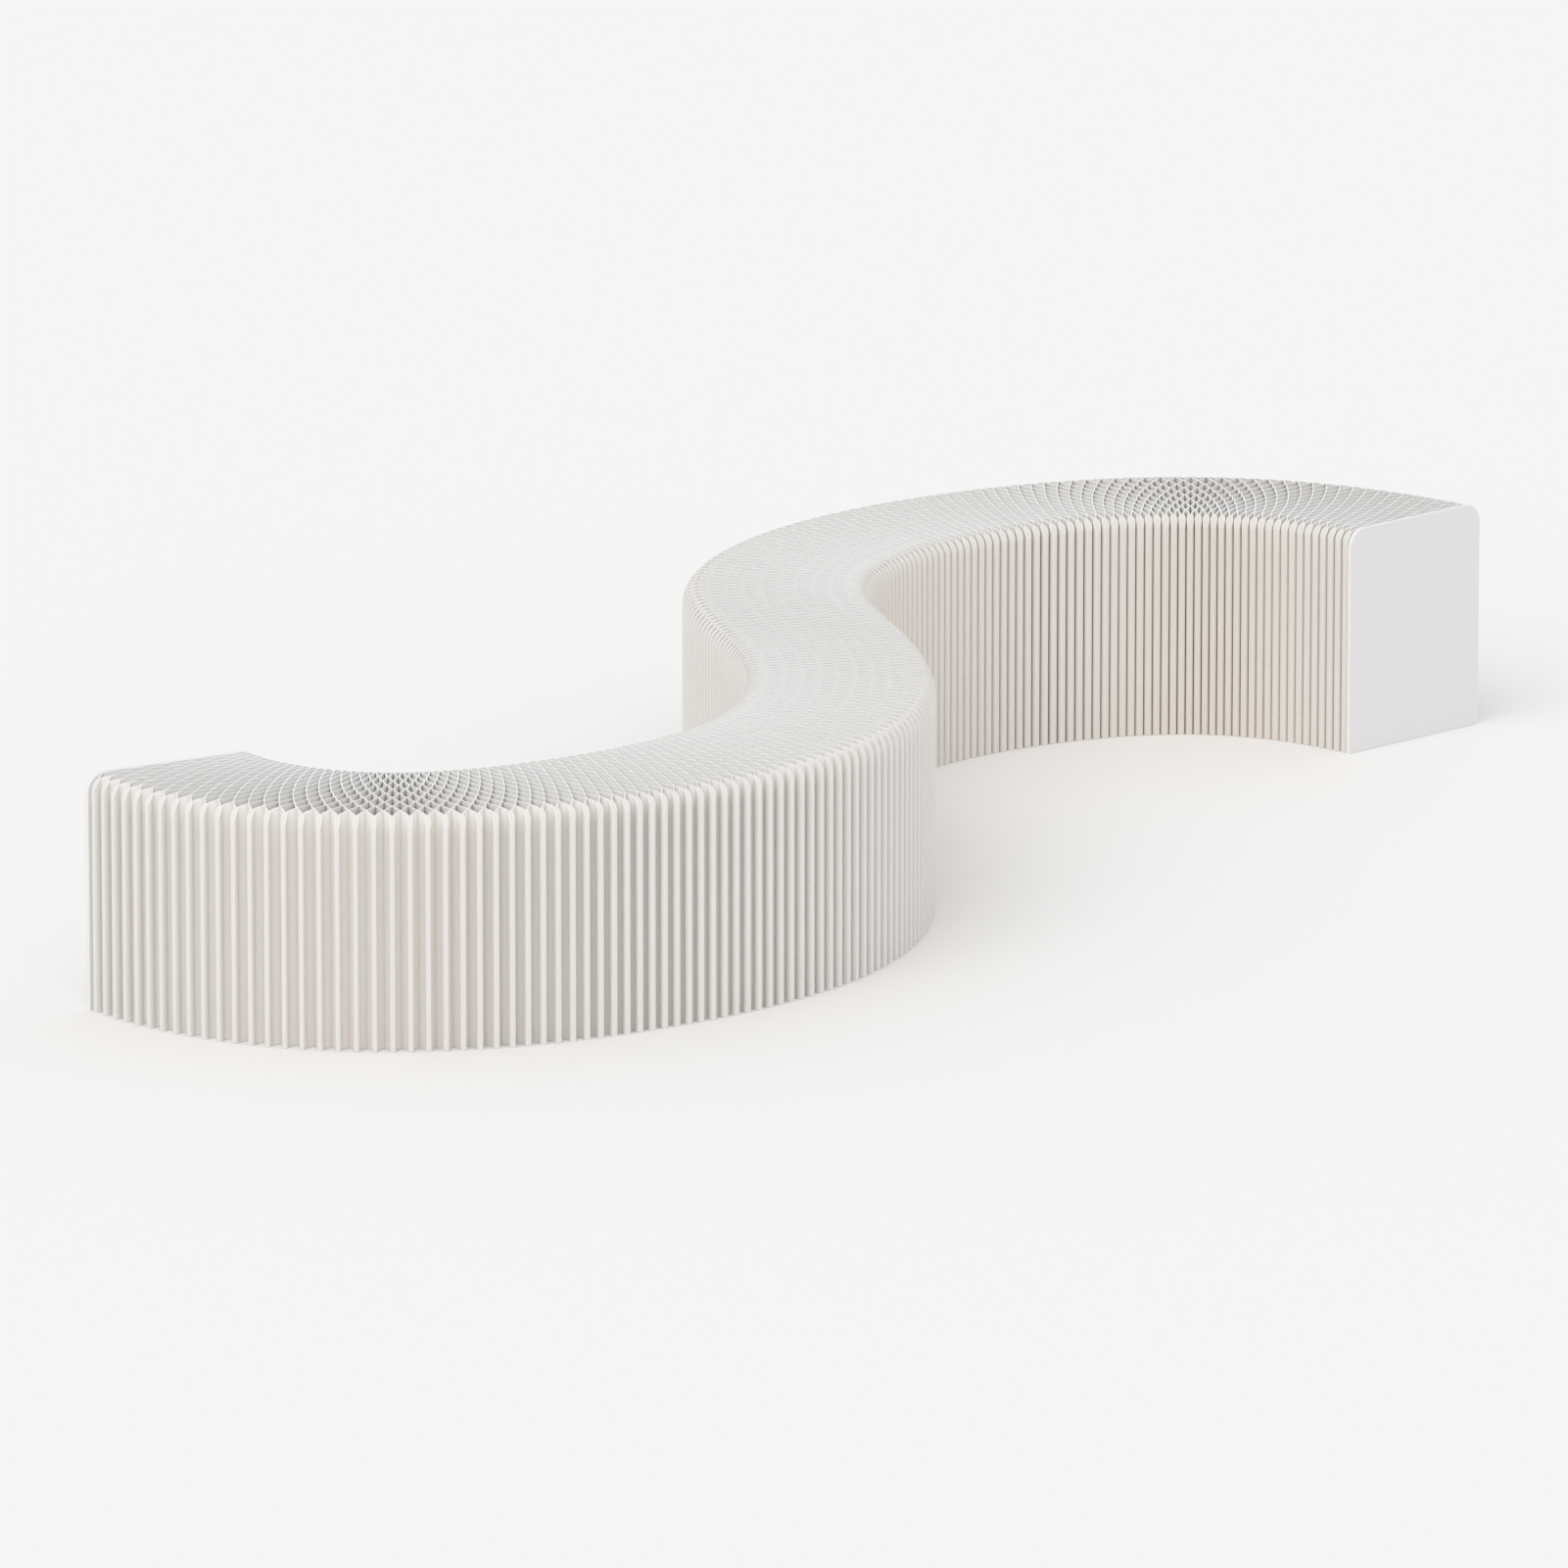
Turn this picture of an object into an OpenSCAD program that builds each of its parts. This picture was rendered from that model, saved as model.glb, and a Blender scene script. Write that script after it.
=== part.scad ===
// Low free-standing paper screen that doubles as a bench. Many identical die-cut
// paper sheets stand across its width. Each is folded to and fro, and glued along its
// folds to the sheets before and behind it by turns, so the stack opens like a
// honeycomb and can be bent into an S. A stiff board closes each end.
// The sheets are glued up in equal packs, each one block of honeycomb, which are
// glued to each other in turn. They are counted from the left end.

/* [Bench] */
// Height of the sheets and the end boards
bench_h = 420; // [250:5:600]
// Width across the sheets, which is the depth of the seat
bench_w = 345; // [240:5:500]
// Radius of the two upper corners of every sheet
corner_r = 35; // [10:1:100]

/* [Paper] */
// Thickness of one sheet
paper_t = 0.5; // [0.3:0.1:1]
// Number of packs that the stack is made of
pack_count = 46; // [24:2:50]
// Number of honeycomb cells in a pack, with two sheets to a cell
pack_cells = 4; // [2:1:6]
// Distance between two cells along the middle of the bench, as it stands open
cell_pitch = 22.5; // [18:0.1:26]
// Number of half cells across the width
half_cells = 11; // [5:2:15]
// How far two folds of a pack are pressed into each other where they are glued
bond_t = 0.3; // [0.2:0.05:0.4]
// Thickness of the film of glue between two packs, and under the end boards
glue_t = 0.1; // [0.05:0.05:0.2]

/* [Bends] */
// Bend at the left end, in degrees for each tenth of the length; plus bends to the left
bend_0 = 46; // [-60:0.5:60]
// Bend at one tenth of the length
bend_1 = 58.5; // [-60:0.5:60]
// Bend at two tenths of the length
bend_2 = 17.5; // [-60:0.5:60]
// Bend at three tenths of the length
bend_3 = 32.5; // [-60:0.5:60]
// Bend at four tenths of the length
bend_4 = 22.5; // [-60:0.5:60]
// Bend at the middle of the length
bend_5 = 12; // [-60:0.5:60]
// Bend at six tenths of the length
bend_6 = -36.5; // [-60:0.5:60]
// Bend at seven tenths of the length
bend_7 = -29.5; // [-60:0.5:60]
// Bend at eight tenths of the length
bend_8 = -23.5; // [-60:0.5:60]
// Bend at nine tenths of the length
bend_9 = -52; // [-60:0.5:60]
// Bend at the right end
bend_10 = -23.5; // [-60:0.5:60]

/* [End boards] */
// Thickness of the stiff core board
core_t = 8; // [5:0.5:15]
// Thickness of the smooth facing glued over the core board
facing_t = 2; // [1:0.5:4]
// Diameter of the magnets let into the core board
magnet_d = 20; // [10:1:30]
// Thickness of the magnets
magnet_t = 3; // [2:0.5:5]
// Room round a magnet in its pocket
pocket_gap = 0.2; // [0.1:0.05:0.5]
// Distance from the edges of the board to the middle of a magnet
magnet_inset = 70; // [50:5:120]

/* [Hidden] */
bends = [bend_0, bend_1, bend_2, bend_3, bend_4, bend_5, bend_6, bend_7, bend_8, bend_9, bend_10];
spans = len(bends) - 1;
sheets_in_pack = 2 * pack_cells;
sheet_count = pack_count * sheets_in_pack;
sheet_pitch = cell_pitch / 2;
stack_len = sheet_count * sheet_pitch;
half_cell_w = bench_w / half_cells;
// Straight steps in each rounded corner of a sheet
corner_steps = 4;
// How far the outer folds lie outside the outline, which cuts them to a narrow edge
overcut = 0.3;

function pack_name(i) = str("sheet_pack_", i < 10 ? "0" : "", i);
function total(list) = len(list) == 0 ? 0 : list * [for (v = list) 1];

// Heading of the middle line at u tenths of the length: the sum of the bends passed
function turned(u) =
    let (k = min(floor(u), spans - 1), f = u - k)
    total([for (i = [0:1:k - 1]) (bends[i] + bends[i + 1]) / 2])
        + bends[k] * f + (bends[k + 1] - bends[k]) * f * f / 2;
headings = [for (i = [0:0.5:sheet_count + 1]) turned(i * spans / sheet_count)];

// Points of the middle line where two sheets meet, walked one sheet at a time
walk = [
    for (i = 0, p = [0, 0]; i <= sheet_count;
        p = p + sheet_pitch * [cos(headings[2 * i + 1]), sin(headings[2 * i + 1])], i = i + 1)
    p
];

// The bench is laid with the line between its two ends along X, and centred
chord = walk[sheet_count] - walk[0];
chord_angle = atan2(chord[1], chord[0]);
function laid(p) =
    [p[0] * cos(chord_angle) + p[1] * sin(chord_angle), p[1] * cos(chord_angle) - p[0] * sin(chord_angle)];
function across(angle, x, y) = [y * cos(angle) - x * sin(angle), y * sin(angle) + x * cos(angle)];
line_angles = [for (h = headings) h - chord_angle];
line_points = [for (p = walk) laid(p)];
board_t = core_t + facing_t;
rims = concat(
    [for (i = [0:sheet_count], x = [-1, 1]) line_points[i] + across(line_angles[2 * i], x * bench_w / 2, 0)],
    [for (x = [-1, 1]) line_points[0] + across(line_angles[0], x * bench_w / 2, -board_t)],
    [for (x = [-1, 1])
        line_points[sheet_count] + across(line_angles[2 * sheet_count], x * bench_w / 2, board_t)]
);
rims_x = [for (p = rims) p[0]];
rims_y = [for (p = rims) p[1]];
middle = [max(rims_x) + min(rims_x), max(rims_y) + min(rims_y)] / 2;

// A point by meeting line i, x to its left and y ahead of it
function at_line(i, x, y) = line_points[i] - middle + across(line_angles[2 * i], x, y);

// Sheet k lies between meeting lines k and k + 1. At fold j it is glued to the one
// ahead when k + j is even, and to the one behind when it is odd.
function glued_ahead(k, j) = (k + j) % 2 == 0;
function fold_x(j) = j * half_cell_w - bench_w / 2 + (j == 0 ? -overcut : j == half_cells ? overcut : 0);

// Sheets of one pack are pressed into each other at the folds that the rounded corners
// don't reach. All other folds keep a film of glue as room between them.
function is_pressed(i, j) =
    i % sheets_in_pack != 0 && abs(fold_x(j)) < max(bench_w / 2 - corner_r, half_cell_w);
function half_gap(i, j) = (is_pressed(i, j) ? -bond_t : glue_t) / 2;
function strip_side(k, depth) = [
    for (j = [0:half_cells])
    glued_ahead(k, j)
        ? at_line(k + 1, fold_x(j), depth - half_gap(k + 1, j) - paper_t)
        : at_line(k, fold_x(j), depth + half_gap(k, j))
];
function reversed(list) = [for (i = [len(list) - 1:-1:0]) list[i]];

// Outline that a sheet is cut to, seen along the bench. It runs past the floor and the
// level top, where the folded strip itself ends, so that both are truly flat.
module sheet_outline() {
    polygon(concat(
        [[-bench_w / 2, -overcut], [bench_w / 2, -overcut]],
        [for (i = [0:corner_steps - 1]) corner_point(1, 90 * i / corner_steps)],
        [over_top(1), over_top(-1)],
        [for (i = [corner_steps - 1:-1:0]) corner_point(-1, 90 * i / corner_steps)]
    ));
}
function corner_point(side, angle) =
    [side * (bench_w / 2 - corner_r + corner_r * cos(angle)), bench_h - corner_r + corner_r * sin(angle)];
function over_top(side) = (3 * corner_point(side, 90) - corner_point(side, 90 - 90 / corner_steps)) / 2;

// Outline of an end board, the same shape with true arcs
module board_outline() {
    translate([-bench_w / 2, 0]) square([bench_w, bench_h - corner_r]);
    translate([corner_r - bench_w / 2, 0]) square([bench_w - 2 * corner_r, bench_h]);
    for (x = [corner_r - bench_w / 2, bench_w / 2 - corner_r])
    translate([x, bench_h - corner_r]) circle(r = corner_r, $fn = 72);
}

// Things drawn across the bench, with X to the left and Y up, stand by a meeting line
module stand_at(point, angle, ahead, thick) {
    translate([point[0], point[1], 0])
    rotate([0, 0, angle])
    translate([ahead, 0, 0])
    rotate([90, 0, 90])
    linear_extrude(thick)
    children();
}

module sheet(k) {
    mid_point = (at_line(k, 0, 0) + at_line(k + 1, 0, 0)) / 2;
    intersection() {
        linear_extrude(bench_h)
        polygon(concat(strip_side(k, 0), reversed(strip_side(k, paper_t))));
        stand_at(mid_point, line_angles[2 * k + 1], -cell_pitch, 2 * cell_pitch) sheet_outline();
    }
}

module sheet_pack(i) {
    color("#e4e1de")
    for (k = [(i - 1) * sheets_in_pack:i * sheets_in_pack - 1]) sheet(k);
}

// An end board is drawn as the left one is seen from inside, and side is -1 at the
// left end and 1 at the right one. Layers are counted outwards from the last sheet.
module at_end(side, from, thick) {
    i = side < 0 ? 0 : sheet_count;
    ahead = side < 0 ? -from - thick : from;
    stand_at(at_line(i, 0, 0), line_angles[2 * i], ahead, thick) children();
}
module magnet_places() {
    for (x = [-1, 1], y = [magnet_inset, bench_h - magnet_inset])
    translate([x * (bench_w / 2 - magnet_inset), y]) children();
}
module core_board(side) {
    color("#d8d2c8")
    difference() {
        at_end(side, glue_t / 2, core_t) board_outline();
        at_end(side, glue_t / 2 + core_t - magnet_t, magnet_t + 1)
        magnet_places() circle(d = magnet_d + 2 * pocket_gap, $fn = 48);
    }
}
module facing(side) {
    color("#e2e0e0")
    at_end(side, glue_t / 2 + core_t, facing_t) board_outline();
}
module magnets(side) {
    color("#8f9296")
    at_end(side, glue_t / 2 + core_t - magnet_t, magnet_t)
    magnet_places() circle(d = magnet_d, $fn = 48);
}

module left_core_board() { core_board(-1); }
module left_facing() { facing(-1); }
module left_magnets() { magnets(-1); }
module right_core_board() { core_board(1); }
module right_facing() { facing(1); }
module right_magnets() { magnets(1); }

for (i = [1:pack_count]) sheet_pack(i);
left_core_board();
left_facing();
left_magnets();
right_core_board();
right_facing();
right_magnets();
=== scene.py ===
import math

import bpy
import numpy as np
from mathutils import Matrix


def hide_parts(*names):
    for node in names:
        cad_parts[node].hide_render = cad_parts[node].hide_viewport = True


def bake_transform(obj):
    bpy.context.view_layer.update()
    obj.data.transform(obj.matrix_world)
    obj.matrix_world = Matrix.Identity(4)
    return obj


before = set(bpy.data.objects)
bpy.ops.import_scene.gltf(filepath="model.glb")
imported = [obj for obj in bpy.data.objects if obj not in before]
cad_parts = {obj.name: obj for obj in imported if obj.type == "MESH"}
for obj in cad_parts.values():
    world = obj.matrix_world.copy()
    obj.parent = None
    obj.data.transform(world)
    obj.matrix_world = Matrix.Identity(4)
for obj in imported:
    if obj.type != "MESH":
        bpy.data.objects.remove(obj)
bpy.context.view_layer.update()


# Paper sheets. 368 die-cut sheets of off-white paper stand across the bench, glued along
# upright stripes to the sheets before and behind by turns, and pulled open like a
# honeycomb. Their closed margins swell to the round ribs of both sides.
BENCH_H = 0.420
BENCH_W = 0.345
HALF_W = BENCH_W / 2
CORNER_R = 0.035
BOARD_T = 0.010
SHEETS = 368
SHEETS_IN_PACK = 8
SHEET_PITCH = 0.01125
# Bends in degrees for each tenth of the length, from the left end on; plus is to the left
BENDS = np.array([46, 58.5, 17.5, 32.5, 22.5, 12, -36.5, -29.5, -23.5, -52, -23.5])


def course():
    """Points of the middle line where two sheets meet, with the ways left and ahead there.

    The heading is the sum of the bends passed, each bend running evenly into the next
    over a tenth of the length. Each step goes one sheet along the heading halfway.
    The line between both ends is laid along X, and the box of the plan, with both end
    boards, is centred."""
    spans = len(BENDS) - 1
    tenth = np.arange(0, SHEETS + 0.5, 0.5) * spans / SHEETS
    whole = np.minimum(np.floor(tenth).astype(int), spans - 1)
    part = tenth - whole
    passed = np.concatenate([[0], np.cumsum((BENDS[1:] + BENDS[:-1]) / 2)])
    heading = passed[whole] + BENDS[whole] * part
    heading = np.radians(heading + (BENDS[whole + 1] - BENDS[whole]) * part**2 / 2)
    steps = SHEET_PITCH * np.stack([np.cos(heading[1::2]), np.sin(heading[1::2])], 1)
    walk = np.concatenate([[[0, 0]], np.cumsum(steps, 0)])
    chord = walk[-1] - walk[0]
    turn = math.atan2(chord[1], chord[0])
    c, s = math.cos(turn), math.sin(turn)
    walk = walk @ np.array([[c, -s], [s, c]])
    angle = heading[::2] - turn
    left = np.stack([-np.sin(angle), np.cos(angle)], 1)
    ahead = np.stack([np.cos(angle), np.sin(angle)], 1)
    rims = [walk + side * left * HALF_W for side in (-1, 1)]
    for end, out in ((0, -BOARD_T), (-1, BOARD_T)):
        for side in (-1, 1):
            rims.append((walk[end] + side * left[end] * HALF_W + out * ahead[end])[None])
    rims = np.concatenate(rims)
    return walk - (rims.max(0) + rims.min(0)) / 2, left, ahead


LINE_POINTS, LINE_LEFT, LINE_AHEAD = course()


HALF_CELLS = 11
HALF_CELL_W = BENCH_W / HALF_CELLS
GLUE_STRIPE = 0.0050
SIDE_MARGIN = 0.0160
# Distances from the side where a margin needs columns, closest where its bead is round
MARGIN_COLUMNS = np.array([0, 0.0004, 0.0012, 0.0030, 0.0060, 0.0090, 0.0120, SIDE_MARGIN, 0.0210])


def columns_across():
    """Places across a sheet: both edges of each glued stripe, where it folds, and a few
    more in its margins, where the rounded corner is steep and the bead swells."""
    stripes = np.arange(1, HALF_CELLS) * HALF_CELL_W
    edges = np.concatenate([stripes - GLUE_STRIPE / 2, stripes + GLUE_STRIPE / 2])
    return np.sort(np.concatenate([edges, MARGIN_COLUMNS, BENCH_W - MARGIN_COLUMNS])) - HALF_W


ACROSS = columns_across()
FROM_SIDE = HALF_W - np.abs(ACROSS)


def top_height():
    """Height of a sheet's upper edge: level, with a quarter circle at each corner."""
    into = np.clip(np.abs(ACROSS) - (HALF_W - CORNER_R), 0, CORNER_R)
    return BENCH_H - CORNER_R + np.sqrt(CORNER_R**2 - into**2)


TOP = top_height()


def swing(k):
    """How far sheet k has swung from the meeting line behind it, 0, to the one ahead,
    1. It lies flat along each glued stripe, and along a wider margin at both sides of
    the bench, and runs straight from one stripe to the next."""
    cell = (ACROSS + HALF_W) / HALF_CELL_W
    j = np.minimum(np.floor(cell), HALF_CELLS - 1)
    start = np.where(j == 0, SIDE_MARGIN, GLUE_STRIPE / 2) / HALF_CELL_W
    stop = np.where(j == HALF_CELLS - 1, SIDE_MARGIN, GLUE_STRIPE / 2) / HALF_CELL_W
    part = np.clip((cell - j - start) / (1 - start - stop), 0, 1)
    return np.where((k + j) % 2 == 0, 1 - part, part)


# The paper is drawn thicker than it is, for the broad soft edges that the stack shows
PAPER_T = 0.0024
GLUE_T = 0.0001
# A bead is about this thick in a room as wide, and thinner by a share of any more room
BEAD_T = 0.0080
BEAD_THINNING = 0.34
# Where the sheets crowd, it takes up this share of its room
BEAD_IN_ROOM = 0.94
# Distances across: the round tip at the side, the reach past the margin, the easing out
BEAD_ROUND = 0.0080
BEAD_OVERRUN = 0.004
BEAD_EASING = 0.012


def thickness(room):
    """How thick a sheet is at its places across the bench, from the room between its two
    meeting lines there. Its margins swell to soft beads, which get thinner evenly where
    the sheets fan out, and fill a share of their room where the sheets crowd. A bead is
    rounded off at the side in a quarter ellipse, and eased into plain paper where the
    margin ends, by the cubic that is level at both its ends."""
    tip = np.sqrt(1 - (1 - np.clip(FROM_SIDE / BEAD_ROUND, 0, 1)) ** 2)
    end = np.clip((SIDE_MARGIN + BEAD_OVERRUN - FROM_SIDE) / BEAD_EASING, 0, 1)
    bead = BEAD_T - BEAD_THINNING * (room - BEAD_T)
    bead = np.minimum(bead, BEAD_IN_ROOM * room - GLUE_T)
    return PAPER_T + (bead - PAPER_T) * tip * end**2 * (3 - 2 * end)


# Painted light: the paper is painted paler for this far below its cut upper edge, standing in for
# light that comes through it
PAINTED_LIGHT_DEPTH = 0.045


def sheet_faces(k):
    """Points of the two faces of sheet k by face, row and column, and three values at
    each: its place along the flat sheet, how near it is to the bottom of a fold, and how
    much the sheets crowd there. The sheet goes from line k to line k + 1 by its swing.
    Its thickness is laid off along the bench, and half a film of glue left at each line."""
    behind = LINE_POINTS[k] + ACROSS[:, None] * LINE_LEFT[k]
    before = LINE_POINTS[k + 1] + ACROSS[:, None] * LINE_LEFT[k + 1]
    room = np.linalg.norm(before - behind, axis=1)
    thick = thickness(room) / room
    swung = swing(k)
    back = GLUE_T / 2 / room + (1 - GLUE_T / room - thick) * swung
    plan = behind + (before - behind) * np.stack([back, back + thick])[..., None]
    # The middle row is where the painted light below the upper edge ends
    heights = np.stack([0 * TOP, TOP - PAINTED_LIGHT_DEPTH, TOP])
    points = np.empty((2, *heights.shape, 3))
    points[..., :2] = plan[:, None]
    points[..., 2] = heights
    lengths = np.linalg.norm(np.diff(plan[0], axis=0), axis=1)
    flat = np.concatenate([[0], np.cumsum(lengths)])
    fold = np.stack([1 - swung, swung])[:, None] * np.clip(room / SHEET_PITCH, 0, 1)
    crowd = np.clip(1 - room / SHEET_PITCH, 0, 1)
    return points, *(np.broadcast_to(value, points.shape[:3]) for value in (flat, fold, crowd))


def sheet_quads(rows, cols):
    """The quads of one closed sheet, facing outwards: its two faces, row by row, and a
    rim along its upper edge, lower edge and both sides."""
    at = np.arange(2 * rows * cols).reshape(2, rows, cols)

    def strip(a, b):
        """The quads between two equal rows of points."""
        return np.stack([a[:-1], a[1:], b[1:], b[:-1]], -1).reshape(-1, 4)

    quads = []
    for row in range(rows - 1):
        quads.append(strip(at[0, row], at[0, row + 1]))
        quads.append(strip(at[1, row + 1], at[1, row]))
    quads.append(strip(at[0, -1], at[1, -1]))
    quads.append(strip(at[1, 0], at[0, 0]))
    quads.append(strip(at[1, :, 0], at[0, :, 0]))
    quads.append(strip(at[0, :, -1], at[1, :, -1]))
    return np.concatenate(quads)


SMOOTH_UP_TO = math.radians(40)


def mesh_piece(name, points, quads, material, uv=None, marks=None):
    """A piece from arrays of points and quads, smooth but for its sharper edges, with a
    map of flat places and named marks at its points."""
    mesh = bpy.data.meshes.new(name)
    mesh.vertices.add(len(points))
    mesh.vertices.foreach_set("co", points.astype(np.float32).ravel())
    mesh.loops.add(quads.size)
    mesh.loops.foreach_set("vertex_index", quads.astype(np.int32).ravel())
    mesh.polygons.add(len(quads))
    mesh.polygons.foreach_set("loop_start", np.arange(0, quads.size, 4, dtype=np.int32))
    mesh.update(calc_edges=True)
    mesh.validate()
    mesh.polygons.foreach_set("use_smooth", np.ones(len(mesh.polygons), bool))
    mesh.set_sharp_from_angle(angle=SMOOTH_UP_TO)
    if uv is not None:
        layer = mesh.uv_layers.new(name="flat")
        layer.data.foreach_set("uv", uv[quads.ravel()].astype(np.float32).ravel())
    for mark, values in (marks or {}).items():
        attribute = mesh.attributes.new(mark, "FLOAT", "POINT")
        attribute.data.foreach_set("value", values.astype(np.float32).ravel())
    mesh.materials.append(material)
    piece = bpy.data.objects.new(name, mesh)
    bpy.context.scene.collection.objects.link(piece)
    return piece


CLOUDS_IN_METRE = 22.0
CLOUD_IN_HEIGHT = 0.35


def fibre_group():
    """Pulp fibres and the cloudy look of paper held to the light, from a place in
    metres: Fleck is fine noise, Cloud is broad noise, and Height is the fine noise with
    a share of the broad one added."""
    group = bpy.data.node_groups.new("paper_fibre", "ShaderNodeTree")
    group.interface.new_socket("Place", in_out="INPUT", socket_type="NodeSocketVector")
    group.interface.new_socket("Fineness", in_out="INPUT", socket_type="NodeSocketFloat")
    for out in ("Fleck", "Cloud", "Height"):
        group.interface.new_socket(out, in_out="OUTPUT", socket_type="NodeSocketFloat")
    nodes, links = group.nodes, group.links
    source = nodes.new("NodeGroupInput")
    sink = nodes.new("NodeGroupOutput")
    fleck = nodes.new("ShaderNodeTexNoise")
    fleck.inputs["Detail"].default_value = 3.0
    fleck.inputs["Roughness"].default_value = 0.6
    links.new(source.outputs["Place"], fleck.inputs["Vector"])
    links.new(source.outputs["Fineness"], fleck.inputs["Scale"])
    cloud = nodes.new("ShaderNodeTexNoise")
    cloud.inputs["Scale"].default_value = CLOUDS_IN_METRE
    cloud.inputs["Detail"].default_value = 2.0
    links.new(source.outputs["Place"], cloud.inputs["Vector"])
    both = nodes.new("ShaderNodeMath")
    both.operation = "MULTIPLY_ADD"
    both.inputs[1].default_value = CLOUD_IN_HEIGHT
    links.new(cloud.outputs["Fac"], both.inputs[0])
    links.new(fleck.outputs["Fac"], both.inputs[2])
    links.new(fleck.outputs["Fac"], sink.inputs["Fleck"])
    links.new(cloud.outputs["Fac"], sink.inputs["Cloud"])
    links.new(both.outputs[0], sink.inputs["Height"])
    return group


FIBRE = fibre_group()


def new_material(name):
    """A new material, with its nodes, links and shader."""
    material = bpy.data.materials.new(name)
    material.use_nodes = True
    nodes = material.node_tree.nodes
    return material, nodes, material.node_tree.links, nodes["Principled BSDF"]


def mark_value(nodes, mark):
    """The value of a mark that the piece carries at its points."""
    attribute = nodes.new("ShaderNodeAttribute")
    attribute.attribute_name = mark
    return attribute.outputs["Fac"]


def blend_colour(nodes, links, share, a, b):
    """A colour that goes from a to b as the value of share goes from 0 to 1. Each of a
    and b is a socket or a plain colour. The node has sockets of one name for each kind
    of value, and its colours are inputs 6 and 7 and output 2."""
    mix = nodes.new("ShaderNodeMix")
    mix.data_type = "RGBA"
    links.new(share, mix.inputs[0])
    for index, colour in ((6, a), (7, b)):
        if isinstance(colour, bpy.types.NodeSocket):
            links.new(colour, mix.inputs[index])
        else:
            mix.inputs[index].default_value = (*colour, 1.0)
    return mix.outputs[2]


def scaled(nodes, links, socket, low, high):
    """A value from 0 to 1 carried to the range low to high."""
    span = nodes.new("ShaderNodeMapRange")
    span.inputs["To Min"].default_value = low
    span.inputs["To Max"].default_value = high
    links.new(socket, span.inputs["Value"])
    return span.outputs["Result"]


def fibre_at(nodes, links, place, fineness):
    """The shared fibre effect, at a place on the piece."""
    fibre = nodes.new("ShaderNodeGroup")
    fibre.node_tree = FIBRE
    fibre.inputs["Fineness"].default_value = fineness
    links.new(place, fibre.inputs["Place"])
    return fibre


def matt_finish(nodes, links, shader, fibre, roughness, shine, strength, depth):
    """A matt finish: its roughness follows the flecks from the first of two values to
    the second, and a fine bump follows the height of the fibres."""
    links.new(scaled(nodes, links, fibre.outputs["Fleck"], *roughness), shader.inputs["Roughness"])
    shader.inputs["Specular IOR Level"].default_value = shine
    bump = nodes.new("ShaderNodeBump")
    bump.inputs["Strength"].default_value = strength
    bump.inputs["Distance"].default_value = depth
    links.new(fibre.outputs["Height"], bump.inputs["Height"])
    links.new(bump.outputs["Normal"], shader.inputs["Normal"])


DULL_SHEET = (0.925, 0.880, 0.830)
BRIGHT_SHEET = (0.950, 0.910, 0.865)
PULP = (0.885, 0.838, 0.785)
# Painted light: paler paper near the cut upper edges
PAINTED_EDGE_LIGHT = (0.968, 0.959, 0.950)
# Painted shade at the bottom of the folds
PAINTED_FOLD_SHADE = (0.85, 0.81, 0.765)
# Painted shade on the side ribs, which tones down how brightly they catch the light
PAINTED_RIB_SHADE = (0.814, 0.787, 0.758)
# Painted warm shade on the side ribs where the sheets crowd
PAINTED_WARM_SHADE = (0.765, 0.700, 0.635)
# Painted shade in a fold begins at this nearness to its bottom, where 1 is the bottom itself
FOLD_SHADE_BEGINS = 0.45


def paper_material():
    """Uncoated off-white paper: a shade apart from sheet to sheet, clouded by its pulp,
    painted paler near its cut upper edges, painted light that stands in for the light that
    comes through it, with painted shade at the bottom of its folds, painted shade greying
    its side ribs, and painted warm shade on the side ribs where the sheets crowd."""
    material, nodes, links, shader = new_material("off_white_paper")
    place = nodes.new("ShaderNodeUVMap")
    place.uv_map = "flat"
    fibre = fibre_at(nodes, links, place.outputs["UV"], fineness=700.0)
    colour = blend_colour(nodes, links, mark_value(nodes, "tone"), DULL_SHEET, BRIGHT_SHEET)
    pulp = scaled(nodes, links, fibre.outputs["Cloud"], low=0.0, high=0.30)
    colour = blend_colour(nodes, links, pulp, colour, PULP)
    # Painted light: paler near the cut upper edges
    colour = blend_colour(nodes, links, mark_value(nodes, "painted_edge_light"), colour, PAINTED_EDGE_LIGHT)
    # Painted shade: darker towards the bottom of the folds
    fold_shade = nodes.new("ShaderNodeMapRange")
    fold_shade.interpolation_type = "SMOOTHSTEP"
    fold_shade.inputs["From Min"].default_value = FOLD_SHADE_BEGINS
    links.new(mark_value(nodes, "fold_shade_mask"), fold_shade.inputs["Value"])
    colour = blend_colour(nodes, links, fold_shade.outputs["Result"], colour, PAINTED_FOLD_SHADE)
    # Painted shade: greyer on the side ribs
    colour = blend_colour(nodes, links, mark_value(nodes, "painted_side_shade"), colour, PAINTED_RIB_SHADE)
    # Painted shade: warmer and darker on the side ribs where the sheets crowd
    colour = blend_colour(nodes, links, mark_value(nodes, "painted_warm_shade"), colour, PAINTED_WARM_SHADE)
    links.new(colour, shader.inputs["Base Color"])
    matt_finish(
        nodes, links, shader, fibre, roughness=(0.72, 0.92), shine=0.25, strength=0.25, depth=0.0004
    )
    return material


PAPER = paper_material()
SHEET_TONES = np.random.default_rng(7).uniform(0, 1, SHEETS)
# Each sheet is cut from its own place in the pulp, this far from the last one's
CUT_APART = 0.37
# Share of the painted light near the upper edge that is left where a rounded corner ends at the
# side
PAINTED_LIGHT_AT_SIDE = 0.15
# Painted shade on the side ribs: its largest share, and how far past the margin it fades
SIDE_SHADE_SHARE = 0.9
SIDE_SHADE_FADE = 0.012
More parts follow.
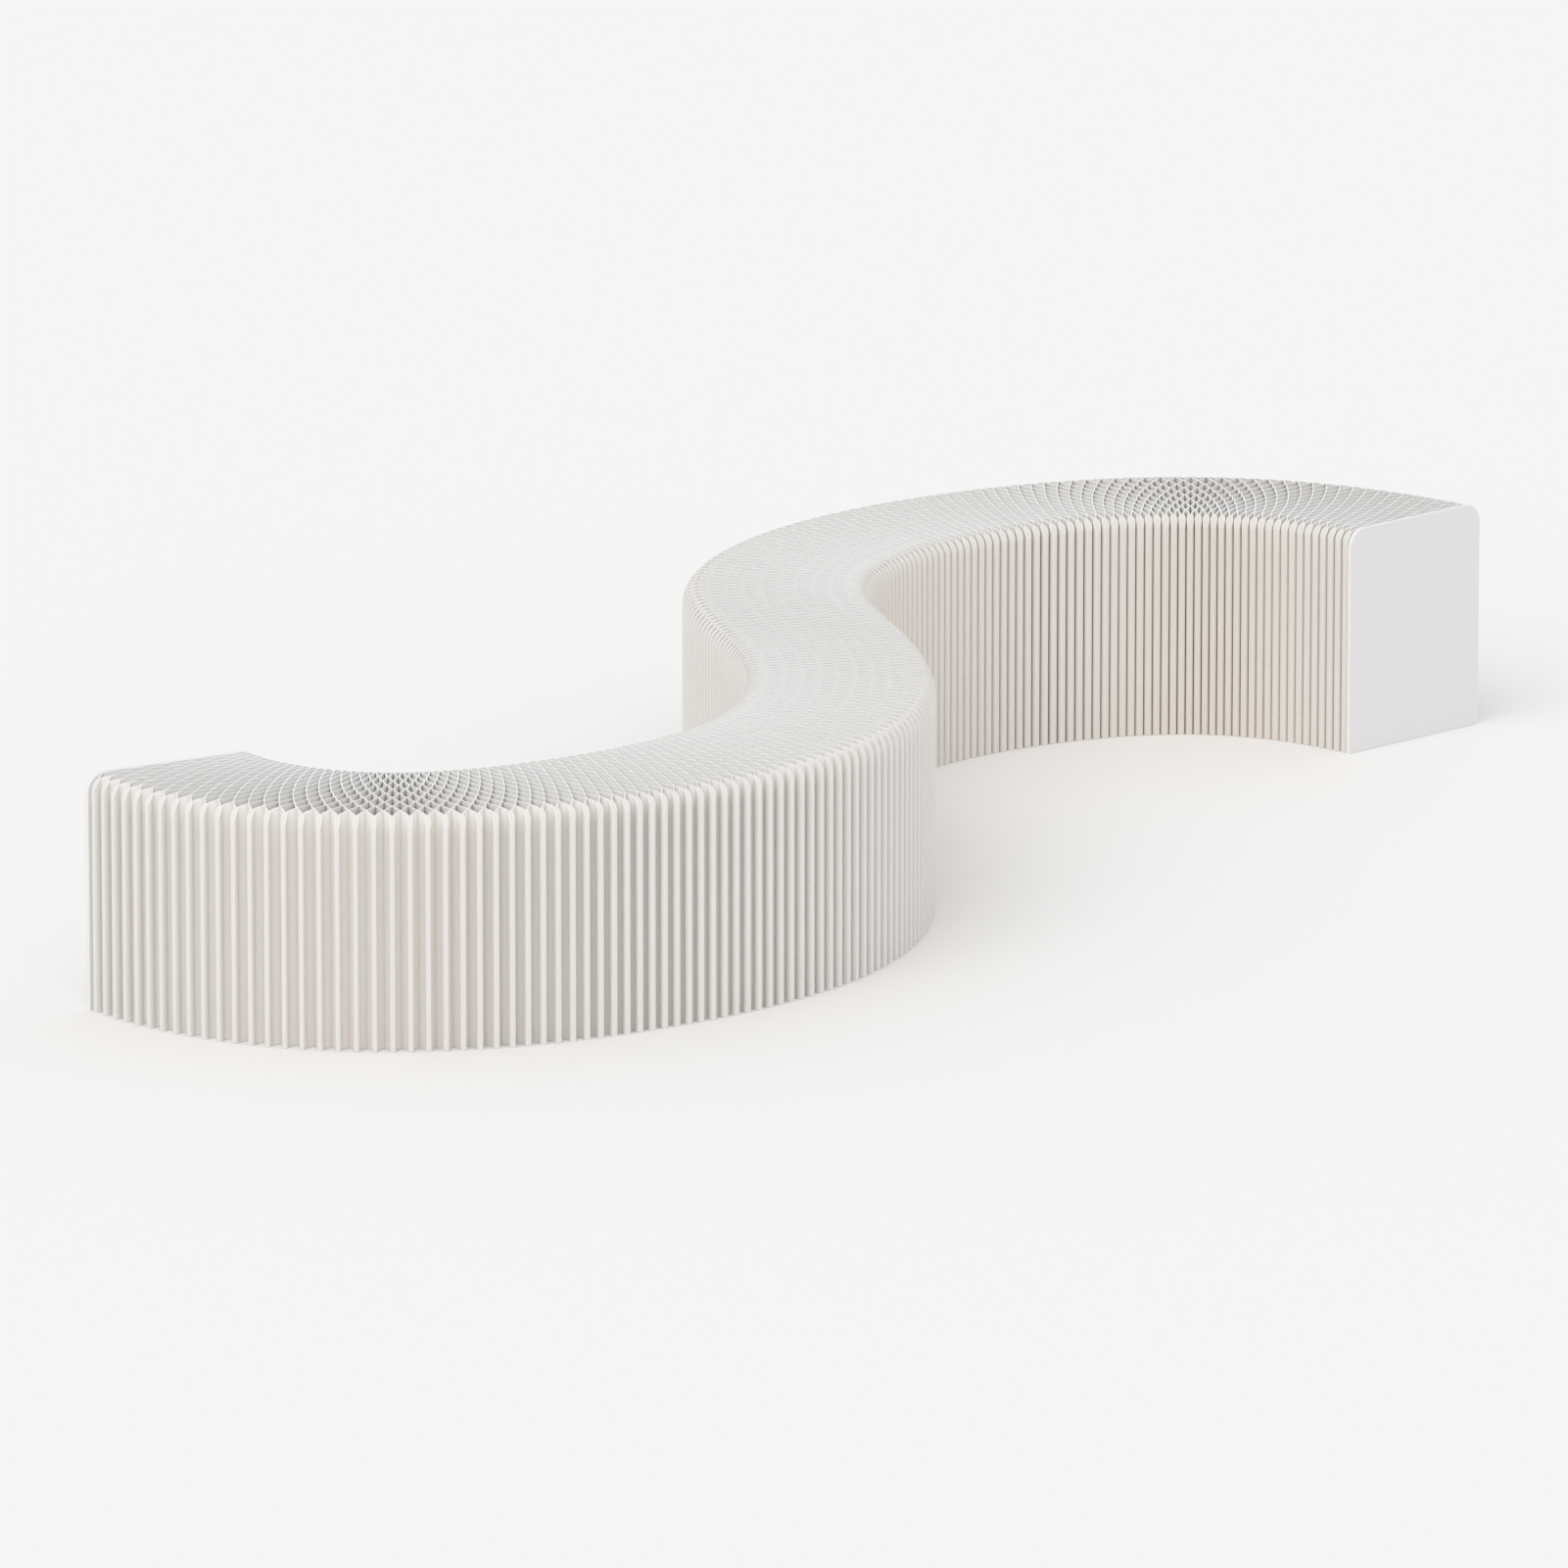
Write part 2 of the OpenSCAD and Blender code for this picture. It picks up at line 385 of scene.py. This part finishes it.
# How fast the painted warm shade on the side ribs grows where the sheets crowd
WARM_SHADE_GAIN = 2.4


def paper_marks(first, last, points, fold, crowd):
    """What the paper's colours follow. The painted light near the upper edge falls evenly
    from the edge to the end of its reach, and less of it is left in the rounded corners.
    The painted shade on the side ribs is even over a margin and fades past it, and the
    painted warm shade is the share of it that the crowding gives. Both give way to the
    painted light."""
    corner = np.clip(FROM_SIDE / CORNER_R, PAINTED_LIGHT_AT_SIDE, 1)
    edge = np.clip(1 - (TOP - points[..., 2]) / PAINTED_LIGHT_DEPTH, 0, 1) * corner
    side = SIDE_SHADE_SHARE * np.clip(1 - (FROM_SIDE - SIDE_MARGIN) / SIDE_SHADE_FADE, 0, 1) * (1 - edge)
    return {
        "tone": np.broadcast_to(SHEET_TONES[first:last, None, None, None], fold.shape),
        "painted_edge_light": edge,
        "painted_side_shade": side,
        "fold_shade_mask": fold,
        "painted_warm_shade": side * np.clip(crowd * WARM_SHADE_GAIN, 0, 1),
    }


def paper_cells(name, first, last, nodes):
    """The open cells between meeting lines first and last, as one piece that bridges two
    neighbouring packs and takes the place of their parts, which are hidden."""
    sheets = [sheet_faces(k) for k in range(first, last)]
    points, flat, fold, crowd = (np.stack(values) for values in zip(*sheets))
    count, _, rows, cols, _ = points.shape
    skip = np.arange(count)[:, None, None] * 2 * rows * cols
    quads = (sheet_quads(rows, cols)[None] + skip).reshape(-1, 4)
    shift = np.arange(first, last)[:, None, None, None] * CUT_APART
    uv = np.stack([flat + shift, points[..., 2]], -1).reshape(-1, 2)
    marks = paper_marks(first, last, points, fold, crowd)
    piece = mesh_piece(name, points.reshape(-1, 3), quads, PAPER, uv, marks)
    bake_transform(piece)
    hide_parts(*nodes)


# Each piece bridges two packs, from the middle of one to the middle of the next
packs = SHEETS // SHEETS_IN_PACK
half_pack = SHEETS_IN_PACK // 2
paper_cells("paper_cells_00", 0, half_pack, ["sheet_pack_01"])
for pack in range(1, packs):
    line = pack * SHEETS_IN_PACK
    here, following = f"{pack:02d}", f"{pack + 1:02d}"
    paper_cells(
        f"paper_cells_{here}",
        line - half_pack,
        line + half_pack,
        [f"sheet_pack_{here}", f"sheet_pack_{following}"],
    )
paper_cells(
    f"paper_cells_{packs}",
    SHEETS - half_pack,
    SHEETS,
    [f"sheet_pack_{packs}"],
)


# End boards. Stiff pale board behind the last sheet at each end, its corners rounded
# like the sheets', under a smooth facing of finer board that is glued over its outer side.
CORE_COLOURS = ((0.90, 0.885, 0.88), (0.87, 0.855, 0.845))
FACING_COLOURS = ((0.815, 0.800, 0.797), (0.797, 0.782, 0.780))


def board_material(name, colours, fineness, roughness, depth):
    """Matt board: one colour, faintly clouded towards a darker one, with a fine tooth."""
    material, nodes, links, shader = new_material(name)
    place = nodes.new("ShaderNodeTexCoord")
    fibre = fibre_at(nodes, links, place.outputs["Object"], fineness)
    cloud = scaled(nodes, links, fibre.outputs["Cloud"], low=0, high=0.5)
    links.new(blend_colour(nodes, links, cloud, *colours), shader.inputs["Base Color"])
    matt_finish(nodes, links, shader, fibre, roughness, shine=0.3, strength=0.2, depth=depth)
    return material


def give_finish(node, material):
    """Gives a part of the frame its finish, in all its material places."""
    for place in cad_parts[node].material_slots:
        place.material = material


CORE = board_material(
    "core_board_edge", CORE_COLOURS, fineness=500.0, roughness=(0.75, 0.95), depth=0.0005
)
FACING = board_material(
    "smooth_facing", FACING_COLOURS, fineness=1200.0, roughness=(0.5, 0.62), depth=0.0002
)
for side in ("left", "right"):
    give_finish(f"{side}_core_board", CORE)
    give_finish(f"{side}_facing", FACING)


# Magnets. Four plated discs in pockets of each core board, behind the facing, hold
# the ends of two benches together. Nothing of them shows.
BRIGHT_PLATING = (0.56, 0.57, 0.59)
DULL_PLATING = (0.48, 0.49, 0.50)


def plated_material():
    """Plated steel with a dull bloom, which is rougher too."""
    material, nodes, links, shader = new_material("plated_magnet")
    shader.inputs["Metallic"].default_value = 1.0
    place = nodes.new("ShaderNodeTexCoord")
    noise = nodes.new("ShaderNodeTexNoise")
    noise.inputs["Scale"].default_value = 300.0
    links.new(place.outputs["Object"], noise.inputs["Vector"])
    bloom = noise.outputs["Fac"]
    links.new(
        blend_colour(nodes, links, bloom, BRIGHT_PLATING, DULL_PLATING), shader.inputs["Base Color"]
    )
    links.new(scaled(nodes, links, bloom, low=0.25, high=0.45), shader.inputs["Roughness"])
    return material


PLATED = plated_material()
for side in ("left", "right"):
    give_finish(f"{side}_magnets", PLATED)


# Floor. Plain, pale and matt, and so wide that no horizon comes into view. It lies a
# hair below the cut lower edges of the paper, and isn't part of the object.
FLOOR_COLOUR = (0.955, 0.938, 0.925)
FLOOR_REACH = 80.0
FLOOR_DROP = 0.0004


def floor_material():
    """A plain matt floor."""
    material, _, _, shader = new_material("plain_floor")
    shader.inputs["Base Color"].default_value = (*FLOOR_COLOUR, 1)
    shader.inputs["Roughness"].default_value = 0.9
    shader.inputs["Specular IOR Level"].default_value = 0.1
    return material


floor_points = np.array([[-1, -1, 0], [1, -1, 0], [1, 1, 0], [-1, 1, 0]]) * FLOOR_REACH
floor_points[:, 2] = -FLOOR_DROP
floor = mesh_piece("floor", floor_points, np.array([[0, 1, 2, 3]]), floor_material())


# Light. A pale sky gives most of it. One wide soft lamp, from above and in front, a
# little to the viewer's left, shades the ribs. The camera sees a plain backdrop and not
# the sky.
SKY_COLOUR = (0.965, 0.985, 1.0)
SKY_STRENGTH = 0.8
BACKDROP = (0.879, 0.879, 0.879)
LAMP_ENERGY = 0.85
LAMP_SPREAD = math.radians(60)
LAMP_TURN = (math.radians(45), 0, math.radians(-62))

world = bpy.data.worlds.new("soft_box")
bpy.context.scene.world = world
world.use_nodes = True
nodes, links = world.node_tree.nodes, world.node_tree.links
sky = nodes["Background"]
sky.inputs["Color"].default_value = (*SKY_COLOUR, 1)
sky.inputs["Strength"].default_value = SKY_STRENGTH
backdrop = nodes.new("ShaderNodeBackground")
backdrop.inputs["Color"].default_value = (*BACKDROP, 1)
backdrop.inputs["Strength"].default_value = 1.0
path = nodes.new("ShaderNodeLightPath")
choose = nodes.new("ShaderNodeMixShader")
links.new(path.outputs["Is Camera Ray"], choose.inputs[0])
links.new(sky.outputs[0], choose.inputs[1])
links.new(backdrop.outputs[0], choose.inputs[2])
links.new(choose.outputs[0], nodes["World Output"].inputs["Surface"])

key = bpy.data.lights.new("key", "SUN")
key.energy = LAMP_ENERGY
key.angle = LAMP_SPREAD
key_holder = bpy.data.objects.new("key", key)
key_holder.rotation_euler = LAMP_TURN
bpy.context.scene.collection.objects.link(key_holder)


# Camera. A long lens about 30 m away, in front of the object and to its left, looking
# down on it. Its focal length and place, and its dip and turn in radians, were fitted to
# the photograph's outline.
PHOTO_W_PX = 1601
FOCAL_PX = 17397.3
SENSOR_MM = 36.0
CAMERA_PLACE = (-19.76244, -22.19194, 7.22812)
CAMERA_DIP = 0.233990
CAMERA_TURN = -0.726132
CAMERA_REACH = 400.0

camera = bpy.data.cameras.new("camera")
camera.sensor_width = SENSOR_MM
camera.lens = FOCAL_PX / PHOTO_W_PX * SENSOR_MM
camera.clip_end = CAMERA_REACH
camera_holder = bpy.data.objects.new("camera", camera)
camera_holder.location = CAMERA_PLACE
camera_holder.rotation_euler = (math.pi / 2 - CAMERA_DIP, 0, CAMERA_TURN)
bpy.context.scene.collection.objects.link(camera_holder)
bpy.context.scene.camera = camera_holder
bpy.context.scene.view_settings.view_transform = "Standard"
